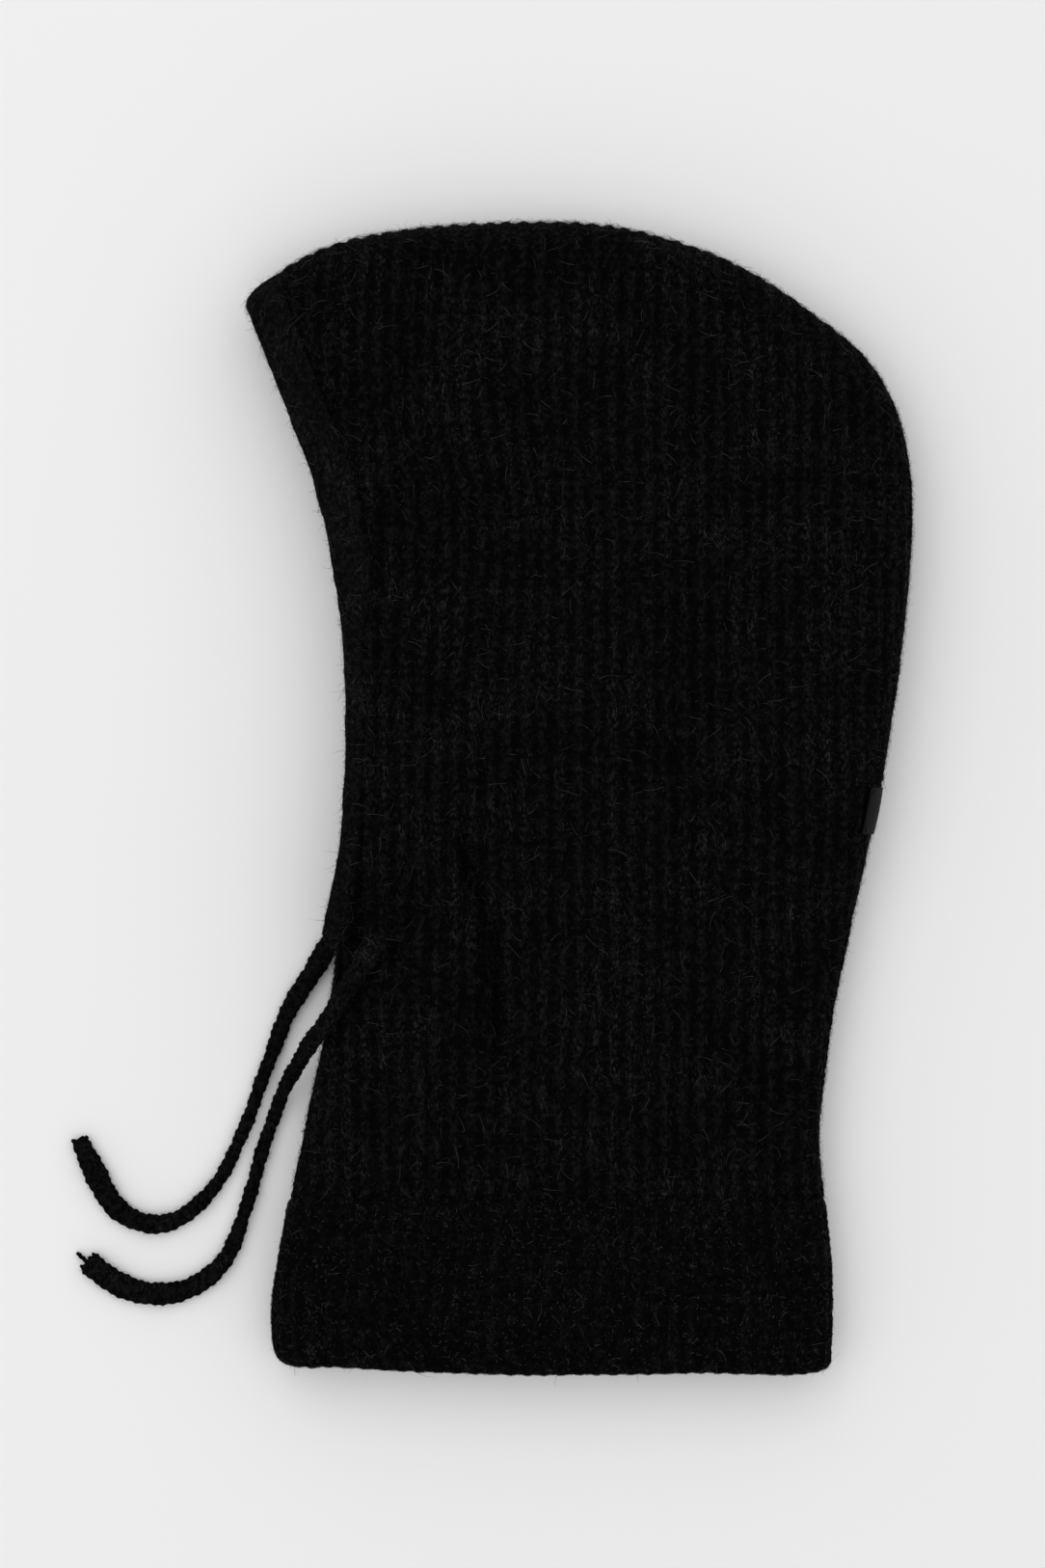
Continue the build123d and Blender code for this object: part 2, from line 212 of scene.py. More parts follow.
def worked(name, u, v, place, relief, keep=None, wrap=False, reverse=False, cloth=None):
    """A knitted surface: a grid set in place and pushed out by its relief. cloth gives each
    spot's place in the knit. Also gives the points that are kept and their outward ways."""
    shell = bmesh.new()
    bmesh.ops.create_grid(shell, x_segments=len(u) - 1, y_segments=len(v) - 1, size=1)
    cols, rows = np.meshgrid(u, v)
    points = place(cols, rows)
    wide = points
    if wrap:
        wide = np.concatenate([points[:, -2:-1], points, points[:, 1:2]], axis=1)
    across = np.gradient(wide, axis=1)
    if wrap:
        across = across[:, 1:-1]
    out = unit(np.cross(across, np.gradient(points, axis=0)))
    if reverse:
        out = -out
    points = points + out * relief(cols, rows)[..., None]
    kept = np.ones(cols.shape, bool) if keep is None else keep(points)
    shell.verts.ensure_lookup_table()
    grid = np.array([vert.co for vert in shell.verts])
    i = np.rint((grid[:, 0] + 1) / 2 * (len(u) - 1)).astype(int)
    j = np.rint((grid[:, 1] + 1) / 2 * (len(v) - 1)).astype(int)
    knit = shell.verts.layers.float_vector.new("knit")
    metres = points[j, i] / 1000
    across, up = cloth(cols, rows) if cloth else (cols, rows)
    stitch = np.stack([across[j, i], up[j, i]], axis=1)
    for vert, spot, where in zip(shell.verts, metres.tolist(), stitch.tolist()):
        vert.co = spot
        vert[knit] = (where[0], where[1], 0)
    lost = [vert for vert, stays in zip(shell.verts, kept[j, i]) if not stays]
    layer = shell.loops.layers.uv.new("Stitches")
    if lost:
        bmesh.ops.delete(shell, geom=lost, context="VERTS")
    for face in shell.faces:
        for loop in face.loops:
            where = loop.vert[knit]
            loop[layer].uv = (where[0] / 100, where[1] / 100)
    if wrap:
        bmesh.ops.remove_doubles(shell, verts=shell.verts, dist=1e-6)
    if reverse:
        bmesh.ops.reverse_faces(shell, faces=shell.faces)
    mesh = bpy.data.meshes.new(name)
    shell.to_mesh(mesh)
    shell.free()
    piece = bpy.data.objects.new(name, mesh)
    bpy.context.scene.collection.objects.link(piece)
    mesh.shade_smooth()
    return piece, points[kept], out[kept]


def finish_piece(piece, body, material, slot, *nodes):
    """Gives a piece its material, its body and the solids that it stands for."""
    piece.data.materials.clear()
    piece.data.materials.append(material)
    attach(piece, body)
    if nodes:
        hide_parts(*nodes)
    return piece


def strand(name, path, radius, step, around=10, relief=None, flat=None, up=(0, 0, 1)):
    """A yarn or cord along a path: round, or wide and low where flat gives (width, height)."""
    path = np.array(path, float)
    total = lengths(path)[-1]
    far = np.linspace(0, total, max(int(total / step), 3))
    spine = at(path, far)
    way = unit(np.gradient(spine, axis=0))
    side = unit(np.cross(way, np.broadcast_to(np.array(up, float), way.shape)))
    over = unit(np.cross(side, way))

    def place(u, v):
        turn = 2 * pi * u
        row = np.arange(len(far))[:, None] + np.zeros_like(u, int)
        wide, tall = (radius, radius) if flat is None else flat(v, total)
        cap = np.sqrt(np.clip(np.minimum(v, total - v) / (0.8 * radius), 0.0004, 1))
        c = (np.cos(turn) * wide * cap)[..., None]
        s = (np.sin(turn) * tall * cap)[..., None]
        return spine[row] + side[row] * c + over[row] * s

    bumps = relief or (lambda u, v: 0 * u)
    cloth = lambda u, v: (u * 2 * pi * radius, v)
    return worked(name, np.linspace(0, 1, around + 1), far, place, bumps, wrap=True, reverse=True,
                  cloth=cloth)


def chain(name, path, radius, up=(0, 0, 1)):
    """A row of linking stitches: one plump loop after another."""
    plump = lambda u, v: 0.34 * radius * np.cos(2 * pi * (v / COURSE + 0.35 * np.cos(2 * pi * u)))
    return strand(name, path, radius, 0.8, 8, plump, up=up)


def join(first, others):
    """Several meshes as one piece."""
    both = bmesh.new()
    for piece in [first, *others]:
        both.from_mesh(piece.data)
    both.to_mesh(first.data)
    both.free()
    for piece in others:
        bpy.data.objects.remove(piece)
    first.data.shade_smooth()
    return first


def hairs(name, spots, ways, count, short, long, width, seed, stand=0.55, rim=0.0, drift=None):
    """Loose fibres that rise from a knitted surface, each a thin ribbon cut from one grid."""
    chance = np.random.default_rng(seed)
    weight = 0.15 + rim * (1 - np.abs(ways[:, 2])) ** 2
    pick = chance.choice(len(spots), count, p=weight / weight.sum())
    root, out = spots[pick], ways[pick]
    loose = unit(chance.normal(size=(count, 3)))
    along = unit(loose - np.sum(loose * out, axis=1, keepdims=True) * out)
    size = chance.uniform(0, 1, count) ** 1.6 * (long - short) + short
    rise = chance.uniform(0.3, 1.3, count) * stand
    bend = np.cross(out, along) * chance.uniform(-0.8, 0.8, count)[:, None]
    side = unit(np.cross(along, loose + (0, 0, 0.4)))
    shell = bmesh.new()
    bmesh.ops.create_grid(shell, x_segments=2 * count - 1, y_segments=3, size=1)
    shell.verts.ensure_lookup_table()
    grid = np.array([vert.co for vert in shell.verts])
    i = np.rint((grid[:, 0] + 1) / 2 * (2 * count - 1)).astype(int)
    t = (grid[:, 1] + 1) / 2
    k, edge = i // 2, (i % 2) * 2 - 1
    length = size[k][:, None]
    t = t[:, None]
    spot = root[k] - out[k] * 0.3 + along[k] * length * t * (1 - 0.25 * t)
    spot += out[k] * length * rise[k][:, None] * (t - 0.45 * t * t) + bend[k] * length * t * t * 0.5
    spot += side[k] * (edge * width / 2)[:, None] * (1 - 0.7 * t)
    spot[:, 2] = np.maximum(spot[:, 2], 0.12)
    for vert, where in zip(shell.verts, (spot / 1000).tolist()):
        vert.co = where
    cut = [face for face in shell.faces if (min(v.index for v in face.verts) % (2 * count)) % 2]
    bmesh.ops.delete(shell, geom=cut, context="FACES_ONLY")
    mesh = bpy.data.meshes.new(name)
    shell.to_mesh(mesh)
    shell.free()
    piece = bpy.data.objects.new(name, mesh)
    bpy.context.scene.collection.objects.link(piece)
    mesh.shade_smooth()
    return piece


# ---------------------------------------------------------------- materials

class Value:
    """A socket that takes part in sums."""

    def __init__(self, looks, socket):
        self.looks, self.socket = looks, socket

    def math(self, operation, *others):
        values = [other.socket if isinstance(other, Value) else other for other in others]
        return self.looks.node("ShaderNodeMath", {"operation": operation},
                               dict(enumerate([self.socket, *values])))

    def __add__(self, other):
        return self.math("ADD", other)

    def __sub__(self, other):
        return self.math("SUBTRACT", other)

    def __mul__(self, other):
        return self.math("MULTIPLY", other)

    def __truediv__(self, other):
        return self.math("DIVIDE", other)

    __radd__ = __add__
    __rmul__ = __mul__


class Looks:
    """One material and its nodes."""

    def __init__(self, name):
        self.material = bpy.data.materials.new(name)
        self.material.use_nodes = True
        self.tree = self.material.node_tree
        self.shader = self.tree.nodes["Principled BSDF"]

    def node(self, kind, settings, inputs, output=0):
        made = self.tree.nodes.new(kind)
        for key, value in settings.items():
            setattr(made, key, value)
        for key, value in inputs.items():
            self.give(made.inputs[key], value)
        return Value(self, made.outputs[output])

    def give(self, socket, value):
        if isinstance(value, Value):
            value = value.socket
        if isinstance(value, bpy.types.NodeSocket):
            self.tree.links.new(value, socket)
        else:
            socket.default_value = value

    def set(self, **values):
        for name, value in values.items():
            self.give(self.shader.inputs[name.replace("_", " ")], value)

    def mix(self, share, first, second):
        return self.node("ShaderNodeMix", {"data_type": "RGBA"}, {0: share, 6: first, 7: second}, 2)

    def noise(self, where, scale, detail=3.0, rough=0.6):
        inputs = {"Vector": where, "Scale": scale, "Detail": detail, "Roughness": rough}
        return self.node("ShaderNodeTexNoise", {}, inputs)

    def stretched(self, where, scale):
        return self.node("ShaderNodeMapping", {"vector_type": "POINT"},
                         {"Vector": where, "Scale": scale})

    def bump(self, height, strength, distance):
        return self.node("ShaderNodeBump", {}, {"Height": height, "Strength": strength,
                                                "Distance": distance})


def grey(value, warm=0.0):
    return (value * (1 + warm), value, value * (1 - 0.6 * warm), 1)


def wool(name, deep, face, glint, pitch_u, pitch_v, rib_pitch=0.0, legs=1.0):
    """Fuzzy black wool in knit: plied legs in the stitches; painted shade in the sunk wales,
    between the stitch legs and in small pits; and painted highlights where fibres catch the light.
    """
    looks = Looks(name)
    place = looks.node("ShaderNodeTexCoord", {}, {}, "Object")
    cloth = looks.node("ShaderNodeUVMap", {"uv_map": "Stitches"}, {})
    flat = looks.node("ShaderNodeSeparateXYZ", {}, {0: cloth})
    drift = looks.noise(place, 210.0, 2.0, 0.5) - 0.5
    u = flat * 100 + drift * 1.6
    v = Value(looks, flat.socket.node.outputs[1]) * 100 + drift * 2.4
    across = (u / pitch_u).math("PINGPONG", 0.5) * 2
    slope = v / pitch_v - across * 0.42
    leg = (slope * (2 * pi)).math("COSINE") * 0.5 + 0.5
    ply = (slope * (2 * pi * 4) + across * 9).math("SINE")
    wale = 1.0
    if rib_pitch:
        wale = (u * (2 * pi / rib_pitch)).math("COSINE") * 0.5 + 0.5
    fibre = looks.noise(looks.stretched(place, (900.0, 420.0, 700.0)), 1.0, 4.0, 0.7)
    fleck_noise = looks.noise(looks.stretched(place, (1500.0, 560.0, 900.0)), 1.0, 2.0, 0.55)
    cloud = looks.noise(place, 330.0, 3.0, 0.65)
    pits = looks.noise(looks.stretched(place, (620.0, 420.0, 500.0)), 1.0, 1.0, 0.5)
    patch = looks.noise(place, 38.0, 2.0, 0.5)
    # Painted shade: the colour goes dark in the sunk wales and between the stitch legs, and lighter
    # on the raised wales, as the light would fall on the rib. The cloud adds tone that differs at
    # random.
    tone = (leg * (0.45 * legs) + 0.35) * (wale * 0.8 + 0.2) + (cloud - 0.5) * 2.6
    # Painted shade: small dark spots where the pits noise is low, in place of shade in the gaps of
    # the knit.
    pit_shade = ((pits - 0.40) * 7).math("MAXIMUM", 0.0).math("MINIMUM", 1.0)
    # Painted highlights: bright flecks where fibres catch the light, strongest on the raised wales
    # and gathered in patches.
    spark = ((fibre - 0.54) * 7).math("MAXIMUM", 0.0).math("MINIMUM", 1.0)
    fleck_glints = ((fleck_noise - 0.6) * 9).math("MAXIMUM", 0.0).math("MINIMUM", 1.0)
    gather = ((patch - 0.38) * 4).math("MAXIMUM", 0.1).math("MINIMUM", 1.0)
    fibre_glints = (spark * 0.5 + fleck_glints * 0.6) * (wale * 0.7 + 0.3) * gather
    base = looks.mix((tone * pit_shade).math("MAXIMUM", 0.0).math("MINIMUM", 1.0), deep, face)
    glinting_colour = looks.mix(fibre_glints.math("MINIMUM", 1.0), base, glint)
    height = leg * (0.5 * legs) + ply * (0.08 * legs) + fibre * 0.7 + cloud * 0.8
    looks.set(Base_Color=glinting_colour, Roughness=0.95, Specular_IOR_Level=0.012,
              Normal=looks.bump(height, 0.9, 0.0010))
    return looks.material


def fibre_wool(name, colour):
    """Single loose fibres, a little paler where they catch the light."""
    looks = Looks(name)
    place = looks.node("ShaderNodeTexCoord", {}, {}, "Object")
    shade = looks.noise(place, 90.0, 2.0)
    tint = looks.mix(shade, grey(colour * 0.3), grey(colour * 1.8))
    looks.set(Base_Color=tint, Roughness=0.7, Specular_IOR_Level=0.15)
    return looks.material


def satin(name):
    """Blank woven satin."""
    looks = Looks(name)
    place = looks.node("ShaderNodeTexCoord", {}, {}, "Object")
    weave = looks.node("ShaderNodeTexWave", {"wave_type": "BANDS", "bands_direction": "Y"},
                       {"Vector": place, "Scale": 900.0, "Distortion": 0.6})
    wear = looks.noise(place, 140.0, 3.0)
    looks.set(Base_Color=looks.mix(wear, grey(0.004), grey(0.008)), Roughness=0.7,
              Specular_IOR_Level=0.06, Normal=looks.bump(weave, 0.25, 0.0002))
    return looks.material


def backdrop():
    """Smooth pale card."""
    looks = Looks("pale_card")
    place = looks.node("ShaderNodeTexCoord", {}, {}, "Object")
    tone = looks.noise(place, 3.0, 2.0)
    looks.set(Base_Color=looks.mix(tone, grey(0.86), grey(0.88)), Roughness=0.9,
              Specular_IOR_Level=0.1)
    return looks.material


RIB_WOOL = wool("rib_wool", grey(0.0014), grey(0.0066), grey(0.040), WALE, COURSE, RIB)
CASING_WOOL = wool("casing_wool", grey(0.0022), grey(0.0062), grey(0.032), 2.7, 2.9, legs=0.8)
CUFF_WOOL = wool("cuff_wool", grey(0.0014), grey(0.0050), grey(0.022), WALE, COURSE, RIB)
CORD_WOOL = wool("cord_wool", grey(0.0014), grey(0.0060), grey(0.032), 2.4, 3.0, legs=0.9)
LINK_WOOL = wool("linking_wool", grey(0.0008), grey(0.0040), grey(0.024), 1.6, COURSE, legs=0.6)
LOOSE_WOOL = fibre_wool("loose_wool", 0.012)
# Paler fibre wool: painted highlights of black fibres catching the light.
GLINT_FIBRE_WOOL = fibre_wool("glinting_fibres", 0.034)
THREAD = fibre_wool("label_thread", 0.012)
LABEL_SATIN = satin("label_satin")


# ---------------------------------------------------------------- camera, floor and light

def studio():
    """Camera straight above, plain floor and soft light from the crown's side."""
    lens = bpy.data.cameras.new("overhead")
    lens.lens = 85
    lens.sensor_fit = "VERTICAL"
    lens.sensor_height = 36
    bpy.context.scene.view_settings.view_transform = "Standard"
    camera = bpy.data.objects.new("overhead", lens)
    camera.location = (-0.0203, 0.0048, 1.366)
    bpy.context.scene.collection.objects.link(camera)
    bpy.context.scene.camera = camera
    card = bmesh.new()
    bmesh.ops.create_grid(card, x_segments=4, y_segments=4, size=3)
    mesh = bpy.data.meshes.new("floor")
    card.to_mesh(mesh)
    card.free()
    ground = bpy.data.objects.new("floor", mesh)
    mesh.materials.append(backdrop())
    bpy.context.scene.collection.objects.link(ground)
    ground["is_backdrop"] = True
    world = bpy.data.worlds.new("studio")
    world.use_nodes = True
    world.node_tree.nodes["Background"].inputs[0].default_value = (1, 1, 1, 1)
    world.node_tree.nodes["Background"].inputs[1].default_value = 0.885
    bpy.context.scene.world = world
    for name, spot, size, power in (
        ("window", (-0.55, 1.15, 1.25), 0.9, 2.0),
        ("side", (-1.1, 0.1, 1.5), 1.2, 2.4),
    ):
        lamp = bpy.data.lights.new(name, "AREA")
        lamp.size = size
        lamp.energy = power
        holder = bpy.data.objects.new(name, lamp)
        holder.location = spot
        holder.rotation_euler = (-Vector(spot)).to_track_quat("-Z", "Y").to_euler()
        bpy.context.scene.collection.objects.link(holder)


# ---------------------------------------------------------------- drawcord ends

NEAR_WAY = np.array([-0.484029, -0.875052, 0])
NEAR_EXIT = np.array([-78.1, -59.8, 26.0])
NEAR_ROUTE = [
    (-0.07132, -0.04755, 0.026), (-0.08342, -0.06943, 0.026), (-0.0935, -0.084, 0.0265),
    (-0.1032, -0.098, 0.013), (-0.1105, -0.1128, 0.00245), (-0.1178, -0.1355, 0.00245),
    (-0.1238, -0.158, 0.00245), (-0.132, -0.1752, 0.00245), (-0.1475, -0.1833, 0.00245),
    (-0.1665, -0.1828, 0.00245), (-0.1812, -0.1708, 0.00245)]
FAR_ROUTE = [
    (-0.08368, -0.03798, 0.004), (-0.09376, -0.05976, 0.004), (-0.1043, -0.0735, 0.00285),
    (-0.1118, -0.0915, 0.00245), (-0.1195, -0.1138, 0.00245), (-0.129, -0.1375, 0.00245),
    (-0.1425, -0.1542, 0.00245), (-0.1588, -0.1588, 0.00245), (-0.1738, -0.1498, 0.00245),
    (-0.1835, -0.1258, 0.00245)]


def spline_points(name, route):
    """Points of the smooth line that the cord lies on, in metres."""
    curve = bpy.data.curves.new(name, "CURVE")
    curve.dimensions = "3D"
    line = curve.splines.new("NURBS")
    line.points.add(len(route) - 1)
    for point, spot in zip(line.points, route):
        point.co = (*spot, 1)
    line.order_u = 3
    line.use_endpoint_u = True
    line.resolution_u = 16
    holder = bpy.data.objects.new(name, curve)
    mesh = bpy.data.meshes.new_from_object(holder)
    spots = np.array([vert.co for vert in mesh.vertices])
    bpy.data.objects.remove(holder)
    bpy.data.curves.remove(curve)
    bpy.data.meshes.remove(mesh)
    return spots


def cord_end(name, route, body, node, widths, seed):
    """One free end: a narrow knitted tape rolled on itself, with short fuzz and frayed yarns."""
    spots = spline_points(name + "_line", route)
    path = spots * 1000

    def flat(v, total):
        wide = np.interp(v / total, widths[0], widths[1]) / 2
        swell = 0.25 * np.sin(v * 0.9 + seed) + 0.2 * np.sin(v * 0.37 + 2 * seed)
        return wide + swell * 0.6, np.minimum(2.15, 1.9 + 0.06 * wide) + 0 * v

    def loops(u, v):
        turn = 2 * pi * u
        legs = np.cos(2 * pi * (v / 3.0 + 0.45 * np.abs(np.sin(turn + 0.5))))
        return 0.22 * legs + 0.18 * np.cos(3 * turn + 0.25 * v) - 0.05

    cord, on, out = strand(name, path, CORD / 2, 0.5, 28, loops, flat)
    finish_piece(cord, body, CORD_WOOL, "cord_knit", node)
    fuzz = hairs(name + "_fuzz", on, out, 5200, 0.5, 2.6, 0.11, seed, stand=0.7)
    finish_piece(fuzz, body, LOOSE_WOOL, "cord_knit")
    tail = lengths(path)[-1]
    tip = at(path, np.array([tail - 1.0, tail]))
    way = unit(tip[1] - tip[0])
    chance = np.random.default_rng(seed + 1)
    frayed = []
    side = np.cross(way, (0, 0, 1))
    for k in range(7):
        shift = (k - 3) * widths[1][-1] / 9
        start = tip[1] - way * 2.2 + side * shift
        reach = chance.uniform(1.2, 2.6)
        bow = side * chance.uniform(-1.0, 1.0)
        low = max(1.0, start[2] - 1.0)
        curl = [start, start + way * reach * 0.6 + bow * 0.3, start + way * reach * 1.2 + bow]
        curl = soften([(p[0], p[1], max(low, p[2] - 0.3 * q)) for q, p in enumerate(curl)], 2)
        twist = lambda u, v: 0.12 * np.cos(2 * pi * (u + v / 1.6))
        piece, _, _ = strand(f"{name}_fray_{k}", curl, 0.75, 0.35, 7, twist)
        frayed.append(piece)
    fray = join(frayed[0], frayed[1:])
    fray.name = name + "_fray"
    finish_piece(fray, body, CORD_WOOL, "cord_knit")
    return path


def drawcord():
    """Both free ends, the yarn left at the near one and the hidden middle length."""
    near = cord_end("near_cord", NEAR_ROUTE, "near_cord", "near_cord_end",
                    ([0, 0.12, 0.25, 0.4, 0.62, 0.78, 0.9, 1],
                     [5.2, 6.4, 6.4, 5.0, 5.0, 7.4, 8.9, 9.0]), 4)
    cord_end("far_cord", FAR_ROUTE, "far_cord", "far_cord_end",
             ([0, 0.12, 0.22, 0.38, 0.6, 0.78, 0.92, 1],
              [6.0, 7.8, 6.8, 4.9, 4.9, 7.2, 8.8, 6.6]), 9)
    way = unit(near[-1] - near[-3])
    start = near[-1] - way * 0.5
    curl = soften([start, start + way * 1.8 + (0, 0, -0.8), start + way * 3.2 + (-0.6, 0.4, -1.4),
                   start + way * 5.0 + (0.3, 0.3, -1.5)], 3)
    twist = lambda u, v: 0.16 * np.cos(2 * pi * (u + v / 1.9))
    tail, _, _ = strand("near_yarn", curl, 0.8, 0.3, 9, twist)
    finish_piece(tail, "near_cord", CORD_WOOL, "linking_yarn", "near_yarn_tail")
    run = np.linspace(34, lengths(FACE)[-1] - 15, 60)
    edge = at(FACE, run)
    line = edge + sideways(edge) * (band_reach(edge[:, 1]) / 2)[:, None]
    rise = unit(line[-1] - line[-3])
    turn = np.linspace(0, pi, 14)[1:-1]
    bend = np.column_stack([line[-1] + np.outer(11 * np.sin(turn), rise), 15 + 11 * np.cos(turn)])
    level = lambda z: np.column_stack([line, np.full(len(line), z)])
    start = [(-71.6, -47, 25.9), (-68.9, -41.5, 25.4), (-72.5, -31, 25)]
    path = np.vstack([start, level(26), bend, level(4)[::-1], [(-83.9, -37.4, 4)]])
    hidden, _, _ = strand("casing_cord", path, CORD / 2, 1.6, 12)
    finish_piece(hidden, "hood", CORD_WOOL, "cord_knit", "drawcord_in_casing")


# ---------------------------------------------------------------- hood

def rim_gap(x, y):
    """Distance in from the nearest rim, over the cloth."""
    inner, _, _ = beside(CROWN_BACK, x, y)
    inner_2, _, _ = beside(NECK_FRONT, x, y)
    return np.where(np.abs(inner_2) < np.abs(inner), inner_2, inner) + 10


def rolled(near):
    """Where a side panel's cloth lies: flat inside, and rolled round to the side seam."""

    def place(x, y):
        inner, spot, _ = beside(CROWN_BACK, x, y)
        inner_2, spot_2, _ = beside(NECK_FRONT, x, y)
        nearer = np.abs(inner_2) < np.abs(inner)
        inner = np.where(nearer, inner_2, inner)
        spot = np.where(nearer[..., None], spot_2, spot)
        tall = top_level(x, y) - SEAM_Z if near else np.full(x.shape, SEAM_Z - FAR_BASE)
        arc = pi / 2 * np.sqrt((RIM ** 2 + tall ** 2) / 2)
        run = inner + arc - RIM
        turn = np.clip(run / arc, 0, 1) * pi / 2
        away = np.stack([x, y], axis=-1) - spot
        inward = unit(away) * np.sign(inner)[..., None]
        inside = (run >= arc)[..., None]
        flat = np.where(inside, np.stack([x, y], axis=-1),
                        spot + inward * (RIM * (1 - np.cos(turn)))[..., None])
        z = SEAM_Z + (tall * np.sin(turn) + np.minimum(run, 0)) * (1 if near else -1)
        return np.concatenate([flat, z[..., None]], axis=-1)

    return place


def panel_kept(near):
    """Cloth that shows: above the cuff, inside the casing's seam and not past the side seam."""

    def kept(points):
        x, y, z = points[..., 0], points[..., 1], points[..., 2]
        inner, _, _ = beside(FACE, x, y)
        clear = (inner > band_reach(y) - 1.2) | (y < -53)
        rolled_in = z > SEAM_Z - 1.6 if near else z < SEAM_Z + 1.6
        return clear & (y > CUFF_Y + 0.4) & rolled_in

    return kept


def side_panels():
    """The near and far panels, each with its inside face."""
    pieces = {}
    for side, near, step_x, step_y in (("near", True, 0.70, 1.28), ("far", False, 0.95, 1.5)):
        place = rolled(near)
        u = np.arange(-137, 137, step_x)
        v = np.arange(-147, 226, step_y)
        seed = 31 if near else 57

        def cloth(x, y):
            wander = lean(x, y) + 0.55 * ripple(x, y, 11, seed) + 0.3 * ripple(x, y, 4.5, seed + 4)
            return x + wander, y + 0.7 * ripple(x, y, 12, seed + 2)

        def relief(x, y):
            edge = ease(-2, 8, rim_gap(x, y))
            return rib(*cloth(x, y), 0.66, 0.34) * (0.4 + 0.6 * edge)

        panel, on, out = worked(side + "_panel", u, v, place, relief, panel_kept(near),
                                reverse=not near, cloth=cloth)
        finish_piece(panel, "hood", RIB_WOOL, "rib_knit", side + "_side_panel")
        inside = lambda x, y: rib(x + lean(x, y), y, -0.5, 0.2) - PLY
        lining, _, _ = worked(side + "_panel_inside", np.arange(-137, 137, 1.9),
                              np.arange(-147, 226, 2.4), place, inside, panel_kept(near),
                              reverse=not near, cloth=cloth)
        flip_faces(lining)
        finish_piece(lining, "hood", RIB_WOOL, "rib_knit")
        pieces[side] = (panel, on, out)
    return pieces


def flip_faces(piece):
    shell = bmesh.new()
    shell.from_mesh(piece.data)
    bmesh.ops.reverse_faces(shell, faces=shell.faces)
    shell.to_mesh(piece.data)
    shell.free()


def casing():
    """The folded casing: one soft tube up the near side, round the forehead and down again."""
    total = lengths(FACE)[-1]
    side = total - 15.0
    bend = 11.0
    fold = pi * bend
    whole = 2 * side + fold

    def place(u, v):
        up = np.where(v < side, v, np.where(v > side + fold, whole - v, side))
        turn = np.clip((v - side) / bend, 0, pi)
        spot = at(FACE, up)
        ahead, behind = at(FACE, np.minimum(up + 1, total)), at(FACE, np.maximum(up - 1, 0))
        way = unit(ahead - behind)
        inward = np.stack([way[..., 1], -way[..., 0]], axis=-1)
        wide = band_reach(spot[..., 1]) / 2
        loop = 2 * pi * u
        cap = np.sqrt(np.clip(np.minimum(v, whole - v) / 3.5, 0.0004, 1))
        c = wide * np.sign(np.cos(loop)) * np.abs(np.cos(loop)) ** 0.62 * cap
        k = 3.75 * np.sign(np.sin(loop)) * np.abs(np.sin(loop)) ** 0.85 * cap
        slant = (0.8 + 0.3 * (wide + c)) * ease(side - 45, side, up)
        reach = bend * np.sin(turn) + k * np.sin(turn) + slant
        flat = spot + inward * (wide + c)[..., None] + way * reach[..., None]
        level = 15.0 + (bend + k) * np.cos(turn)
        return np.concatenate([flat, level[..., None]], axis=-1)

    def relief(u, v):
        around = u * 44
        row = v + 1.2 * ripple(around, v, 9, 76)
        fine = 0.15 * np.cos(2 * pi * around / 2.75) * np.cos(2 * pi * row / 2.9)
        cords = 0.14 * np.cos(2 * pi * row / 5.8) * np.sin(2 * pi * u) ** 2
        lumps = 0.2 * ripple(around, v, 2.3, 78) + 0.35 * ripple(around * 0.5, v, 9, 77)
        return fine + cords + lumps * ease(0, 0.12, u) * ease(0, 0.12, 1 - u)

    band, on, out = worked("face_casing", np.linspace(0, 1, 65), np.linspace(0, whole, 600),
                           place, relief, wrap=True, reverse=True, cloth=lambda u, v: (u * 44, v))
    mouth, on_2, out_2 = casing_mouth()
    join(band, [mouth])
    finish_piece(band, "hood", CASING_WOOL, "casing_knit", "face_band")
    return np.vstack([on, on_2]), np.vstack([out, out_2])


def casing_mouth():
    """The short raised tube of knit that the near end comes out of, with its rolled lip."""
    side = np.array([NEAR_WAY[1], -NEAR_WAY[0], 0])
    profile = np.array([(-24, 1.0, -6.5), (-18, 2.8, -4.5), (-11, 3.5, -1.8), (-5, 3.8, -0.4),
                        (-1.4, 3.95, 0), (-0.2, 3.9, 0), (0.2, 3.4, 0), (-0.2, 2.85, 0),
                        (-2, 2.75, 0), (-6, 2.75, 0)])
    line = soften(profile, 2)
    run = lengths(line)

    def place(u, v):
        shape = np.stack([np.interp(v, run, line[:, k]) for k in range(3)], axis=-1)
        turn = 2 * pi * u
        r = shape[..., 1]
        centre = NEAR_EXIT + NEAR_WAY * shape[..., :1] + np.array([0, 0, 1]) * shape[..., 2:]
        across = side * (r * np.cos(turn))[..., None]
        return centre + across + np.array([0, 0, 1]) * (r * np.sin(turn) * 0.97)[..., None]

    relief = lambda u, v: 0.16 * np.cos(2 * pi * 9 * u) + 0.12 * np.cos(2 * pi * v / 2.8)
    return worked("mouth", np.linspace(0, 1, 41), np.linspace(0, run[-1], 60), place, relief,
                  wrap=True, cloth=lambda u, v: (u * 24, v))


